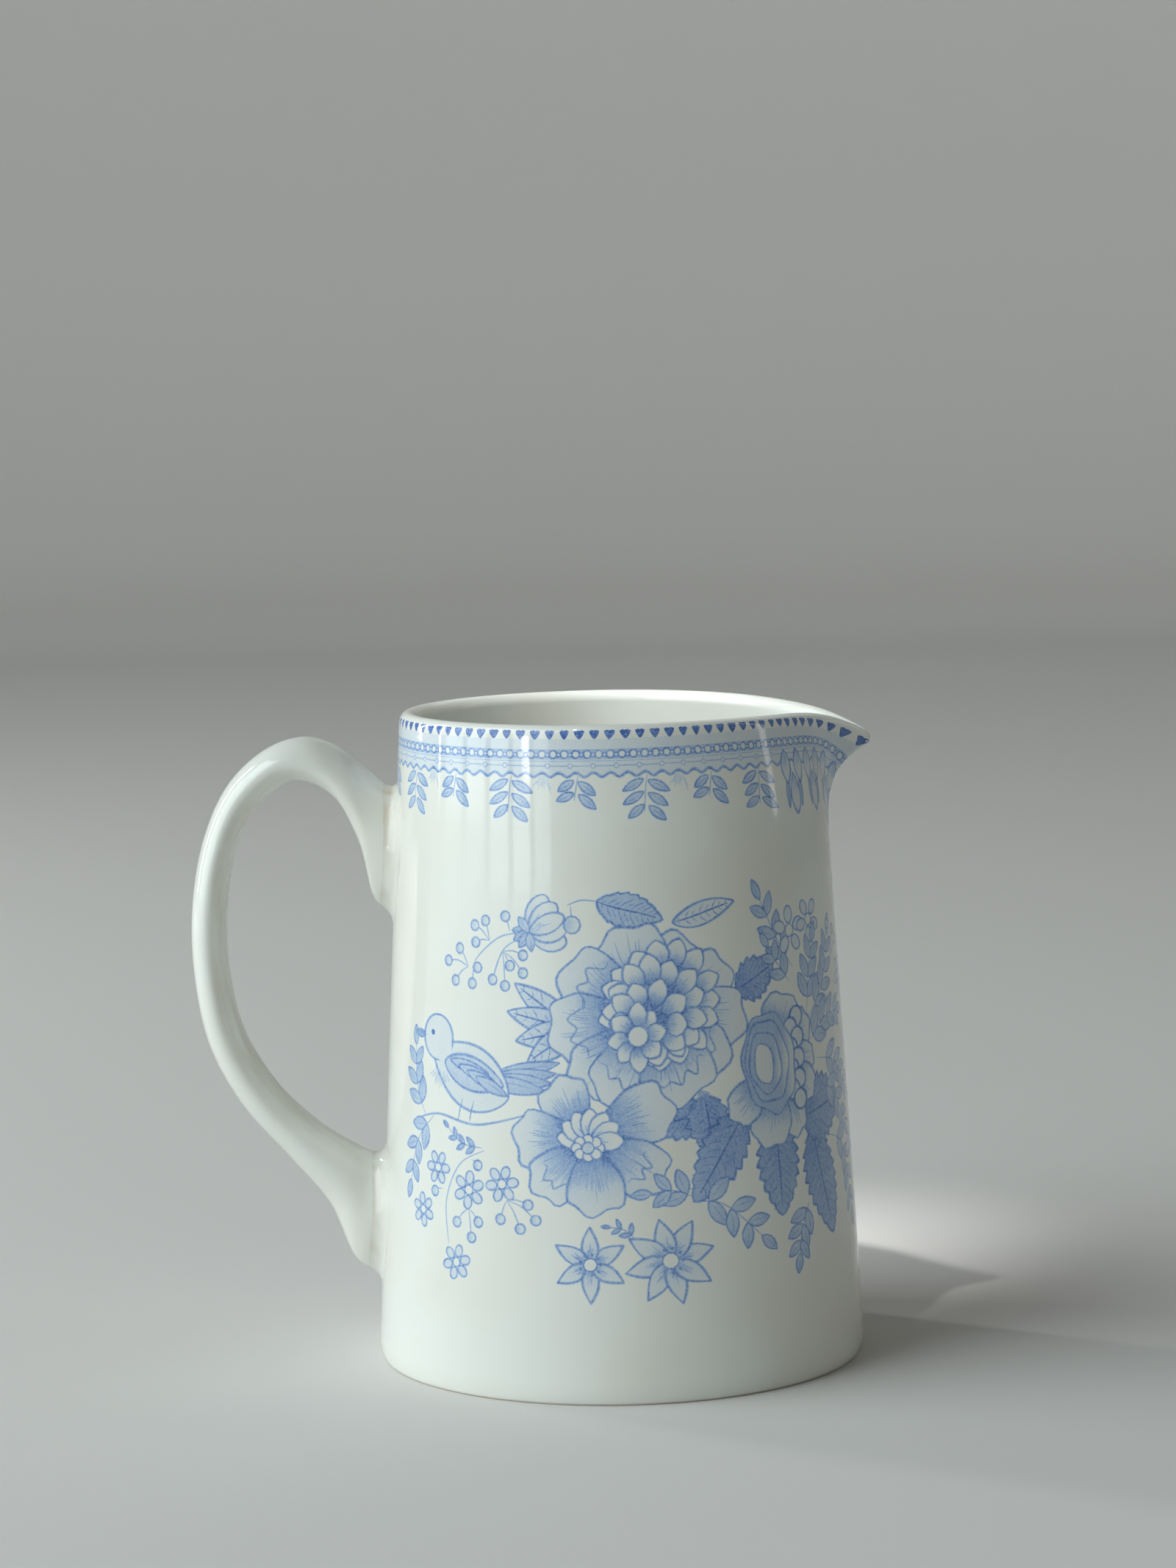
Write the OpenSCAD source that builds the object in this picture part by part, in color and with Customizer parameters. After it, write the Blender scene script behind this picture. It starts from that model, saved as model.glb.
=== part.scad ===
// Half-pint cream jug: a cast tankard body with a lip pulled from its rim, a loop handle
// stuck on with slip at both ends, and three printed transfers on the outside of the wall.
// Millimetres, +Z up. The body's axis is the Z axis, the foot stands on z = 0, the lip
// points along +X and the handle along -X.

/* [Body] */
// Outside diameter of the wall, drawn down to the table
foot_d = 75; // [68:1:90]
// Outside diameter of the wall, drawn up to the rim's height
rim_d = 64; // [56:1:80]
// Height of the rim above the table
height = 99.5; // [90:0.5:120]
// Thickness of the wall
wall_t = 3; // [2.4:0.1:4]
// Thickness of the floor
floor_t = 4; // [3:0.1:6]
// Radius inside, where the floor turns up into the wall
floor_round = 5; // [2:0.5:10]
// Width of the foot ring that the jug stands on
ring_w = 4; // [3:0.5:8]
// Depth of the hollow under the floor
hollow_h = 1.5; // [0.5:0.1:2.5]
// Sideways size of the rounded lower edge
edge_in = 0.8; // [0.2:0.1:2]
// Height of the rounded lower edge
edge_up = 3.2; // [1:0.1:5]

/* [Lip] */
// Height of the band below the rim that the lip is shaped from
band_h = 24; // [20:1:30]
// Outward pull at the tip
tip_pull = 9.7; // [5:0.1:12]
// Angle from the tip over which the pull falls away
tip_spread = 9; // [6:0.5:14]
// Angle over which the point of the tip is rounded
tip_round = 2; // [1:0.5:5]
// Depth below the rim over which the pull falls away
tip_fade = 5.9; // [4:0.1:9]
// Drop of the tip below the rim
tip_drop = 3.4; // [0:0.1:5]
// Angle from the tip over which the drop falls away
drop_spread = 5; // [3:0.5:12]
// Inward pinch of the rim on both sides of the lip
pinch = 2; // [0:0.1:4]
// Angle from the tip that the pinch reaches
pinch_spread = 75; // [50:1:90]
// Gentle drop of the whole pinched stretch of rim
pinch_drop = 0.6; // [0:0.1:2]
// Angle from the tip over which that gentle drop falls away
pinch_drop_spread = 45; // [30:1:60]
// Thinning of the wall at the tip
tip_thin = 0.6; // [0:0.1:1]
// Angle from the tip over which the thinning falls away
thin_spread = 12; // [8:1:20]

/* [Handle] */
// How far the handle's outer edge stands out from the wall
handle_out = 30.7; // [26:0.1:40]
// Sideways width of the handle as a share of its nominal 11 mm
handle_wide = 1; // [0.8:0.05:1.4]
// Radius of the slip fillet round both ends of the handle
slip_r = 1.6; // [0.8:0.1:2.5]

/* [Transfers] */
// Thickness of a printed transfer
film_t = 0.1; // [0.05:0.05:0.3]
// Lowest and highest point of the flower sprays
spray_z = [14, 78];
// Sweep of a flower spray around the wall
spray_sweep = 160; // [120:1:165]
// Direction of the first edge of the front spray, from the lip
front_spray_at = -158; // [-165:1:-150]
// Direction of the first edge of the back spray, from the lip
back_spray_at = 2; // [0:1:10]

/* [Hidden] */

glaze = [0.90, 0.90, 0.86];
slip = [0.86, 0.84, 0.78];
print_blue = [0.45, 0.60, 0.83];

// Steps round the rim, and how strongly they crowd towards the tip
rim_steps = 80;
rim_crowding = 1.6;
// Rows of facets down the band, and how strongly they crowd towards the crest
band_steps = 9;
band_crowding = 1.5;
// Steps from each station of the handle to the next, and round its section
loft_steps = 3;
section_steps = 20;
// Steps up the slip fillet
slip_steps = 6;
band_z = height - band_h;
floor_top = hollow_h + floor_t;
// The band's foot is set into the turned wall: how far its faces stay back from the wall's
// faces, how far those of its tongue do, and how deep the tongue goes
seam_in = 0.1;
tongue_in = 0.6;
tongue_h = 2;

// Stations along the handle, from its upper end to its lower end. Each holds how far out
// of the wall and how high the outer edge is, the same for the inner edge, as shares of
// handle_out and height, and the half width in millimetres.
stations = [
    [-0.060, 0.862, -0.076, 0.690, 6.6],
    [ 0.040, 0.883,  0.032, 0.696, 6.4],
    [ 0.156, 0.913,  0.106, 0.718, 6.0],
    [ 0.303, 0.949,  0.167, 0.790, 5.7],
    [ 0.478, 0.963,  0.302, 0.867, 5.5],
    [ 0.673, 0.943,  0.515, 0.897, 5.5],
    [ 0.852, 0.888,  0.706, 0.851, 5.5],
    [ 0.962, 0.804,  0.796, 0.786, 5.4],
    [ 1.005, 0.700,  0.828, 0.696, 5.4],
    [ 0.983, 0.594,  0.809, 0.604, 5.4],
    [ 0.899, 0.488,  0.727, 0.510, 5.5],
    [ 0.725, 0.394,  0.555, 0.426, 5.6],
    [ 0.483, 0.312,  0.342, 0.364, 5.8],
    [ 0.274, 0.238,  0.160, 0.329, 6.0],
    [ 0.151, 0.158,  0.080, 0.317, 6.3],
    [ 0.057, 0.134,  0.027, 0.313, 6.6],
    [-0.069, 0.130, -0.069, 0.308, 6.8]
];
last_station = len(stations) - 1;

// ---- Wall and lip ----

// Outside radius of the plain tapered wall at height z
function wall_r(z) = foot_d / 2 + (rim_d - foot_d) / 2 * z / height;

// Angle from the tip, with its point rounded off
function from_tip(a) = sqrt(a * a + tip_round * tip_round) - tip_round;
function tip_share(a) = exp(-from_tip(a) / tip_spread);
function pinch_share(a) = exp(-pow(abs(a) / pinch_spread, 4));

// The middle of the wall in the band: v is 0 at the crest of the rim and 1 at band_z
function crest_z(a) =
    height - wall_t / 2 - tip_drop * exp(-from_tip(a) / drop_spread)
        - pinch_drop * exp(-pow(a / pinch_drop_spread, 2));
function depth(a, v) = v * (crest_z(a) - band_z);
function mid(a, v) = [
    wall_r(crest_z(a) - depth(a, v)) - wall_t / 2
        + tip_pull * tip_share(a) * exp(-depth(a, v) / tip_fade) * (1 - v)
        - pinch * pinch_share(a) * pow(1 - v, 2),
    crest_z(a) - depth(a, v)
];
function unit(p) = p / norm(p);
function up_wall(a, v) = unit(mid(a, v - 0.01) - mid(a, v + 0.01));
function out_of_wall(a, v) = [up_wall(a, v).y, -up_wall(a, v).x];
function thick(a, v) =
    wall_t - tip_thin * exp(-from_tip(a) / thin_spread) * exp(-depth(a, v) / tip_fade);

// Points of the wall at angle a: side is 1 outside and -1 inside
function wall_point(a, v, side, off = 0) =
    mid(a, v) + side * (thick(a, v) / 2 + off) * out_of_wall(a, v);
// The band ends in a thin tongue inside the top of the turned wall
function tongue_point(side) = [
    wall_r(band_z) - (side > 0 ? tongue_in : wall_t - tongue_in),
    band_z - tongue_h
];
function crest_point(a, turn) =
    mid(a, 0) + thick(a, 0) / 2 * (cos(turn) * out_of_wall(a, 0) + sin(turn) * up_wall(a, 0));

// Directions round the rim, closer together near the tip
function rim_angle(i) =
    let(u = 2 * i / rim_steps - 1)
    180 * sign(u) * pow(abs(u), rim_crowding);
rim_angles = [for (i = [0:rim_steps - 1]) rim_angle(i)];
function spin(p, a) = [p.x * cos(a), p.x * sin(a), p.y];

// A closed ring of sections, each a loop of [r, z] points
module ring(sections, angles) {
    n = len(sections[0]);
    m = len(sections);
    polyhedron(
        [for (i = [0:m - 1]) for (p = sections[i]) spin(p, angles[i])],
        [for (i = [0:m - 1]) for (j = [0:n - 1])
            let(k = (i + 1) % m, l = (j + 1) % n)
            each [[i * n + j, k * n + l, k * n + j], [i * n + j, i * n + l, k * n + l]]],
        convexity = 4
    );
}

// Values of v for the rows, from the band's foot up to just under the crest
band_rows = [for (k = [0:band_steps - 1]) pow(1 - k / band_steps, band_crowding)];

function band_section(a) = concat(
    [tongue_point(1), wall_point(a, 1, 1, -seam_in)],
    [for (k = [1:band_steps - 1]) wall_point(a, band_rows[k], 1)],
    [for (turn = [0:30:180]) crest_point(a, turn)],
    [for (k = [band_steps - 1:-1:1]) wall_point(a, band_rows[k], -1)],
    [wall_point(a, 1, -1, -seam_in), tongue_point(-1)]
);

module lip_band() {
    ring([for (a = rim_angles) band_section(a)], rim_angles);
}

// The wall below the band, with the floor and the foot ring, turned in one
module lower_body() {
    in_r = wall_r(floor_top + floor_round) - wall_t;
    rotate_extrude($fn = 96)
        polygon(concat(
            [[0, floor_top], [0, hollow_h]],
            [[foot_d / 2 - edge_in - ring_w - hollow_h, hollow_h]],
            [[foot_d / 2 - edge_in - ring_w, 0]],
            [for (t = [0:15:90])
                [wall_r(edge_up) - edge_in * (1 - sin(t)), edge_up * (1 - cos(t))]],
            [[wall_r(band_z), band_z], [wall_r(band_z) - wall_t, band_z]],
            [for (t = [0:15:90])
                [in_r - floor_round * (1 - cos(t)), floor_top + floor_round * (1 - sin(t))]]
        ));
}

module body() {
    color(glaze) union() {
        lower_body();
        lip_band();
    }
}

// ---- Handle ----

// A smooth curve through the stations
function station(i) =
    i < 0 ? 2 * stations[0] - stations[1]
    : i > last_station ? 2 * stations[last_station] - stations[last_station - 1]
    : stations[i];
function along(s) =
    let(
        i = min(floor(s), last_station - 1),
        t = s - i,
        a = station(i - 1),
        b = station(i),
        c = station(i + 1),
        d = station(i + 2)
    )
    (2 * b + (c - a) * t + (2 * a - 5 * b + 4 * c - d) * t * t
        + (3 * b - a - 3 * c + d) * t * t * t) / 2;

function edge_point(out, up) = [-(wall_r(up * height) + out * handle_out), up * height];

// Oval section at s, grown on all sides by grow
function section(s, grow = 0) =
    let(
        p = along(s),
        outer = edge_point(p[0], p[1]),
        inner = edge_point(p[2], p[3]),
        centre = (outer + inner) / 2,
        half = unit(outer - inner) * (norm(outer - inner) / 2 + grow)
    )
    [for (k = [0:section_steps - 1])
        let(t = 360 * k / section_steps, q = centre + cos(t) * half)
        [q.x, (p[4] * handle_wide + grow) * sin(t), q.y]];

module loft(sections) {
    n = len(sections[0]);
    m = len(sections);
    polyhedron(
        [for (s = sections) each s],
        concat(
            [[for (j = [0:n - 1]) j]],
            [for (i = [0:m - 2]) for (j = [0:n - 1])
                let(l = (j + 1) % n)
                each [[i * n + j, (i + 1) * n + j, (i + 1) * n + l],
                      [i * n + j, (i + 1) * n + l, i * n + l]]],
            [[for (j = [n - 1:-1:0]) (m - 1) * n + j]]
        ),
        convexity = 4
    );
}

// Everything inside the outer surface of the plain wall
module wall_core() {
    cylinder(h = height, r1 = wall_r(0), r2 = wall_r(height), $fn = 360);
}

module handle_loft() {
    loft([for (k = [0:last_station * loft_steps]) section(k / loft_steps)]);
}

module handle() {
    color(glaze) difference() {
        handle_loft();
        wall_core();
    }
}

// The fillet of slip round one end: the stretch of handle from one station to the next,
// flared towards the end that meets the wall
module slip_fillet(first, last, free_end) {
    color(slip) difference() {
        loft([for (k = [0:slip_steps])
            let(s = first + (last - first) * k / slip_steps)
            section(s, slip_r * pow((s - free_end) / (last - first), 2))]);
        handle_loft();
        wall_core();
    }
}

module upper_slip_joint() {
    slip_fillet(0.35, 1.35, 1.35);
}

module lower_slip_joint() {
    slip_fillet(last_station - 1.25, last_station - 0.25, last_station - 1.25);
}

// ---- Printed transfers ----

// A skin over the rows of the band between its foot and its crest
module rim_border_transfer() {
    first_row = 2;
    last_row = band_steps - 2;
    color(print_blue)
        ring([for (a = rim_angles) concat(
            [for (k = [first_row:last_row]) wall_point(a, band_rows[k], 1, film_t)],
            [for (k = [last_row:-1:first_row]) wall_point(a, band_rows[k], 1)]
        )], rim_angles);
}

module spray_film(first_edge) {
    color(print_blue)
        rotate([0, 0, first_edge])
            rotate_extrude(angle = spray_sweep, $fn = 96)
                polygon([
                    [wall_r(spray_z[0]), spray_z[0]],
                    [wall_r(spray_z[0]) + film_t, spray_z[0]],
                    [wall_r(spray_z[1]) + film_t, spray_z[1]],
                    [wall_r(spray_z[1]), spray_z[1]]
                ]);
}

module front_spray_transfer() {
    spray_film(front_spray_at);
}

module back_spray_transfer() {
    spray_film(back_spray_at);
}

body();
handle();
upper_slip_joint();
lower_slip_joint();
rim_border_transfer();
front_spray_transfer();
back_spray_transfer();
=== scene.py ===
import math

import bpy
import numpy as np
from mathutils import Matrix, Vector
from mathutils.geometry import delaunay_2d_cdt


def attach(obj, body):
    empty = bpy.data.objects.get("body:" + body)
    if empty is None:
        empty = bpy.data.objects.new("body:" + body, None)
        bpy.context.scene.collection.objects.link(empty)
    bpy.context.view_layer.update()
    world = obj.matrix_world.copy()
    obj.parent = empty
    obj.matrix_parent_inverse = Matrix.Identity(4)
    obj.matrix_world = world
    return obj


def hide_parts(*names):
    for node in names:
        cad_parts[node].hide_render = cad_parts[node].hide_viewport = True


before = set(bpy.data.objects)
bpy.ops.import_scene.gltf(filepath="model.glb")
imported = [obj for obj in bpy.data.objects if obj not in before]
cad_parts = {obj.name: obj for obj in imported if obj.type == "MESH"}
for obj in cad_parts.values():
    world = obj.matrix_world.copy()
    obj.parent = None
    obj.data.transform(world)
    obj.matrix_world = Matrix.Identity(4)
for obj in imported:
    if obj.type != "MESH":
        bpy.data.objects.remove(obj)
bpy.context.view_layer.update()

# Shapes are worked out in millimetres and written to the meshes in metres. Angles round the
# jug are in degrees from the lip, which points along +X. The handle points along -X.
MM = 0.001

# ---- Driving sizes of the body, the lip and the handle, as in the CAD model ----

FOOT_D = 75.0
RIM_D = 64.0
HEIGHT = 99.5
WALL_SLOPE = (FOOT_D - RIM_D) / 2 / HEIGHT
WALL = 3.0
FLOOR = 4.0
FLOOR_ROUND = 5.0
RING_W = 4.0
HOLLOW = 1.5
EDGE_IN = 0.8
EDGE_UP = 3.2
# Above BAND_Z the wall takes the shape of the lip, which is pulled out and dips near its tip
BAND_Z = HEIGHT - 24.0
TIP_PULL = 9.7
TIP_SPREAD = 9.0
TIP_ROUND = 2.0
TIP_FADE = 5.9
TIP_DROP = 3.4
DROP_SPREAD = 5.0
# Beside the lip the rim is drawn in and lies a little lower
PINCH = 2.0
PINCH_SPREAD = 75.0
PINCH_DROP = 0.6
PINCH_DROP_SPREAD = 45.0
TIP_THIN = 0.6
THIN_SPREAD = 12.0
HANDLE_OUT = 30.7
SLIP_R = 2.2

# Sections of the handle from the upper end down: the outer edge out and up, the inner edge out
# and up, and the half width. Out is a share of HANDLE_OUT from the wall, up a share of HEIGHT.
STATIONS = np.array([
    [-0.060, 0.862, -0.076, 0.690, 6.6],
    [0.040, 0.883, 0.032, 0.696, 6.4],
    [0.156, 0.913, 0.106, 0.718, 6.0],
    [0.303, 0.949, 0.167, 0.790, 5.7],
    [0.478, 0.963, 0.302, 0.867, 5.5],
    [0.673, 0.943, 0.515, 0.897, 5.5],
    [0.852, 0.888, 0.706, 0.851, 5.5],
    [0.962, 0.804, 0.796, 0.786, 5.4],
    [1.005, 0.700, 0.828, 0.696, 5.4],
    [0.983, 0.594, 0.809, 0.604, 5.4],
    [0.899, 0.488, 0.727, 0.510, 5.5],
    [0.725, 0.394, 0.555, 0.426, 5.6],
    [0.483, 0.312, 0.342, 0.364, 5.8],
    [0.274, 0.238, 0.160, 0.329, 6.0],
    [0.151, 0.158, 0.080, 0.317, 6.3],
    [0.057, 0.134, 0.027, 0.313, 6.6],
    [-0.069, 0.130, -0.069, 0.308, 6.8],
])
LAST = len(STATIONS) - 1

# ---- Surface of the body ----


def wall_r(z):
    return FOOT_D / 2 - WALL_SLOPE * z


def from_tip(a):
    return np.sqrt(a * a + TIP_ROUND ** 2) - TIP_ROUND


def crest_z(a):
    drop = TIP_DROP * np.exp(-from_tip(a) / DROP_SPREAD)
    return HEIGHT - WALL / 2 - drop - PINCH_DROP * np.exp(-(a / PINCH_DROP_SPREAD) ** 2)


def mid(a, v):
    """Radius and height of the middle of the wall in the band: v is 0 at the crest, 1 at BAND_Z."""
    depth = v * (crest_z(a) - BAND_Z)
    z = crest_z(a) - depth
    pull = TIP_PULL * np.exp(-from_tip(a) / TIP_SPREAD) * np.exp(-depth / TIP_FADE) * (1 - v)
    pinch = PINCH * np.exp(-(np.abs(a) / PINCH_SPREAD) ** 4) * (1 - v) ** 2
    return np.array([wall_r(z) - WALL / 2 + pull - pinch, z])


def up_wall(a, v):
    step = mid(a, v - 0.01) - mid(a, v + 0.01)
    return step / np.hypot(step[0], step[1])


def thick(a, v):
    depth = v * (crest_z(a) - BAND_Z)
    return WALL - TIP_THIN * np.exp(-from_tip(a) / THIN_SPREAD) * np.exp(-depth / TIP_FADE)


def wall_point(a, v, side, lift=0.0):
    """Radius and height on the outside (side 1) or the inside (side -1) of the band."""
    up = up_wall(a, v)
    return mid(a, v) + side * (thick(a, v) / 2 + lift) * np.array([up[1], -up[0]])


def crest_point(a, turn, lift=0.0):
    """Radius and height on the rounded rim: turn is 0 outside and 180 inside."""
    up = up_wall(a, 0.0)
    t = np.radians(turn)
    out = np.array([up[1], -up[0]])
    return mid(a, 0.0) + (thick(a, 0.0) / 2 + lift) * (np.cos(t) * out + np.sin(t) * up)


def spin(rz, a):
    """Points in space, in millimetres, from radius and height at angle a."""
    t = np.radians(a)
    return np.stack([rz[0] * np.cos(t), rz[0] * np.sin(t), rz[1] + 0 * a], axis=-1)


# ---- Meshes ----


def new_mesh(name, points, faces):
    mesh = bpy.data.meshes.new(name)
    mesh.from_pydata((np.asarray(points) * MM).tolist(), [], faces)
    mesh.validate()
    mesh.polygons.foreach_set("use_smooth", [True] * len(mesh.polygons))
    piece = bpy.data.objects.new(name, mesh)
    bpy.context.scene.collection.objects.link(piece)
    return piece


def place(piece, node, slot, material):
    piece.data.materials.append(material)
    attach(piece, "root")
    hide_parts(node)


def rim_angles(count):
    """Angles round the rim, closer together near the tip of the lip."""
    crowding = 1.6
    u = 2 * np.arange(count) / count - 1
    return 180 * np.sign(u) * np.abs(u) ** crowding


def body_rows(a):
    """Radius and height of each row of the body at the angles a, from under the floor, up the
    outside, over the rim and down the inside to the floor."""
    flat = 0 * a
    rows = []

    def turned(r, z):
        rows.append(np.array([r + flat, z + flat]))

    ring_in = FOOT_D / 2 - EDGE_IN - RING_W
    for share in (0.02, 0.5, 0.96, 1.0):
        turned((ring_in - HOLLOW) * share, HOLLOW)
    for share in np.linspace(0.06, 0.94, 5):
        turned(ring_in - HOLLOW * (1 - share), HOLLOW * (1 - share))
    for step in (0.0, 0.25, 2.0):
        turned(ring_in + step, 0.0)
    for t in np.radians(np.linspace(0, 90, 19)):
        turned(wall_r(EDGE_UP) - EDGE_IN * (1 - math.sin(t)), EDGE_UP * (1 - math.cos(t)))
    for z in np.linspace(EDGE_UP, BAND_Z, 22)[1:-1]:
        turned(wall_r(z), z)
    band = np.linspace(1, 0, 40) ** 1.4
    rows.extend(wall_point(a, v, 1) for v in band)
    rows.extend(crest_point(a, turn) for turn in np.linspace(0, 180, 19)[1:-1])
    rows.extend(wall_point(a, v, -1) for v in band[::-1])
    floor_top = HOLLOW + FLOOR
    in_r = wall_r(floor_top + FLOOR_ROUND) - WALL
    for z in np.linspace(BAND_Z, floor_top + FLOOR_ROUND, 18)[1:-1]:
        turned(wall_r(z) - WALL, z)
    for t in np.radians(np.linspace(0, 90, 12)):
        turned(in_r - FLOOR_ROUND * (1 - math.cos(t)), floor_top + FLOOR_ROUND * (1 - math.sin(t)))
    for share in (0.75, 0.4, 0.02):
        turned((in_r - FLOOR_ROUND) * share, floor_top)
    return rows


def make_body(material):
    angles = rim_angles(384)
    rows = body_rows(angles)
    n, m = len(angles), len(rows)
    points = np.concatenate([spin(row, angles) for row in rows])
    faces = []
    for i in range(m - 1):
        for j in range(n):
            k = (j + 1) % n
            faces.append((i * n + j, i * n + k, (i + 1) * n + k, (i + 1) * n + j))
    faces.append(tuple(range(n))[::-1])
    faces.append(tuple(range((m - 1) * n, m * n)))
    body = new_mesh("jug_body", points, faces)
    body.data.set_sharp_from_angle(angle=math.radians(50))
    place(body, "body", "glazed_body", material)


def along_handle(s):
    """The handle's outline at s, a smooth curve through the stations."""
    i = int(min(math.floor(s), LAST - 1))
    t = s - i
    a = STATIONS[i - 1] if i > 0 else 2 * STATIONS[0] - STATIONS[1]
    b, c = STATIONS[i], STATIONS[i + 1]
    d = STATIONS[i + 2] if i + 2 <= LAST else 2 * STATIONS[LAST] - STATIONS[LAST - 1]
    cubic = (2 * a - 5 * b + 4 * c - d) * t ** 2 + (3 * b - a - 3 * c + d) * t ** 3
    return (2 * b + (c - a) * t + cubic) / 2


def handle_edge(out, up):
    z = up * HEIGHT
    return np.array([-(wall_r(z) + out * HANDLE_OUT), z])


def handle_section(s, steps):
    """One oval section of the handle, flared into a fillet of slip where it nears the wall."""
    p = along_handle(s)
    outer, inner = handle_edge(p[0], p[1]), handle_edge(p[2], p[3])
    half = (outer - inner) / 2
    t = np.linspace(0, 2 * math.pi, steps, endpoint=False)
    flat = (outer + inner)[:, None] / 2 + half[:, None] * np.cos(t)
    points = np.stack([flat[0], p[4] * np.sin(t), flat[1]], axis=-1)
    size = np.hypot(*half)
    normals = np.stack([
        half[0] / size * np.cos(t) * p[4], np.sin(t) * size, half[1] / size * np.cos(t) * p[4],
    ], axis=-1)
    r = np.hypot(points[:, 0], points[:, 1])
    off_wall = np.stack([points[:, 0] / r, points[:, 1] / r, 0 * r + WALL_SLOPE], axis=-1)
    gap = r - wall_r(points[:, 2])
    normals -= (normals * off_wall).sum(axis=1)[:, None] * off_wall
    normals /= np.linalg.norm(normals, axis=1)[:, None]
    near = np.clip(SLIP_R - gap, 0, SLIP_R)
    grow = SLIP_R - np.sqrt(SLIP_R ** 2 - near ** 2)
    return points + normals * grow[:, None], gap


def make_handle(handle_material, slip_material):
    steps = 72
    # Places along the stations, closer together where the slip fillets are
    places = np.concatenate([
        np.linspace(0.1, 0.55, 5), np.linspace(0.58, 1.7, 46), np.linspace(1.8, 14.0, 110),
        np.linspace(14.05, 15.75, 60), np.linspace(15.8, 16.0, 3),
    ])
    sections = [handle_section(s, steps) for s in places]
    points = np.concatenate([s[0] for s in sections])
    gaps = np.concatenate([s[1] for s in sections])
    faces = {"loop_handle": [], "upper_slip_fillet": [], "lower_slip_fillet": []}
    for i in range(len(places) - 1):
        for j in range(steps):
            k = (j + 1) % steps
            face = (i * steps + j, (i + 1) * steps + j, (i + 1) * steps + k, i * steps + k)
            slip = max(gaps[list(face)]) < SLIP_R
            end = "upper_slip_fillet" if places[i] < LAST / 2 else "lower_slip_fillet"
            faces[end if slip else "loop_handle"].append(face)
    whole = new_mesh("whole_handle", points, sum(faces.values(), []))
    normals = np.array([v.normal[:] for v in whole.data.vertices])
    bpy.data.objects.remove(whole)
    nodes = {
        "loop_handle": ("handle", "glazed_body", handle_material),
        "upper_slip_fillet": ("upper_slip_joint", "glazed_slip", slip_material),
        "lower_slip_fillet": ("lower_slip_joint", "glazed_slip", slip_material),
    }
    for name, (node, slot, material) in nodes.items():
        used = np.unique(np.array(faces[name]))
        index = {old: new for new, old in enumerate(used)}
        piece = new_mesh(name, points[used], [tuple(index[v] for v in f) for f in faces[name]])
        piece.data.normals_split_custom_set_from_vertices(normals[used].tolist())
        place(piece, node, slot, material)


# ---- Drawing kit: ink on a flat sheet, in millimetres, in painting order ----

LINE = 0.58
LINE_INK = 0.8
rng = np.random.default_rng(11)


class Line:
    """Ink of a pen line over what lies under it: full along its middle, none at its edges."""

    def __init__(self, middle, half, ink, closed):
        self.start = middle if closed else middle[:-1]
        self.step = (np.roll(middle, -1, axis=0) if closed else middle[1:]) - self.start
        self.half = half[:len(self.start)]
        self.ink = ink

    def __call__(self, x, y, under):
        place = np.stack([x, y], axis=-1)[..., None, :] - self.start
        length = (self.step ** 2).sum(axis=-1).clip(1e-9)
        t = ((place * self.step).sum(axis=-1) / length).clip(0, 1)
        off = np.linalg.norm(place - t[..., None] * self.step, axis=-1) / self.half
        cover = (1 - off.min(axis=-1)).clip(0, 1)
        return under + (self.ink - under) * cover


class Sheet:
    def __init__(self):
        self.shapes = []

    def area(self, points, ink):
        """Fills an outline. ink is a number, or a function of x, y and the ink under it."""
        self.shapes.append((np.asarray(points, float), ink, None, True))

    def stroke(self, points, width=LINE, ink=LINE_INK, ends=0.3, closed=False):
        """A pen line: an open one thins to the share ends of its width at both ends."""
        points = np.asarray(points, float)
        if closed:
            along = np.roll(points, -1, axis=0) - np.roll(points, 1, axis=0)
            t = np.linspace(0, 2 * math.pi, len(points), endpoint=False)
            half = width / 2 * (1 + 0.22 * np.sin(2 * t + rng.uniform(0, 6)))
        else:
            along = np.gradient(points, axis=0)
            t = np.linspace(0, 1, len(points))
            half = width / 2 * (ends + (1 - ends) * np.sin(math.pi * t) ** 0.6)
        along /= np.maximum(np.hypot(along[:, 0], along[:, 1]), 1e-9)[:, None]
        side = np.stack([-along[:, 1], along[:, 0]], axis=1) * half[:, None]
        left, right = points + side, points - side
        if closed:
            left = np.vstack([left, left[:1]])
            right = np.vstack([right, right[:1]])
        line = Line(points, half, ink, closed)
        self.shapes.append((np.vstack([right, left[::-1]]), line, points, closed))

    def outlined(self, points, ink, width=LINE, line_ink=LINE_INK):
        self.area(points, ink)
        self.stroke(points, width, line_ink, closed=True)


def curve(points, closed=False, step=0.5):
    """A smooth curve through the points, in short steps."""
    p = np.asarray(points, float)
    n = len(p)
    pad = p[[-1, *range(n), 0, 1]] if closed else p[[0, *range(n), n - 1]]
    out = []
    for i in range(n if closed else n - 1):
        a, b, c, d = pad[i:i + 4]
        count = max(1, int(np.hypot(*(c - b)) / step))
        t = (np.arange(count) / count)[:, None]
        out.append((2 * b + (c - a) * t + (2 * a - 5 * b + 4 * c - d) * t ** 2
                    + (3 * b - a - 3 * c + d) * t ** 3) / 2)
    if not closed:
        out.append(p[-1:])
    return np.vstack(out)


def turned(points, angle, x, y):
    t = math.radians(angle)
    c, s = math.cos(t), math.sin(t)
    points = np.asarray(points, float)
    return np.stack([x + c * points[:, 0] - s * points[:, 1],
                     y + s * points[:, 0] + c * points[:, 1]], axis=1)


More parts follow.
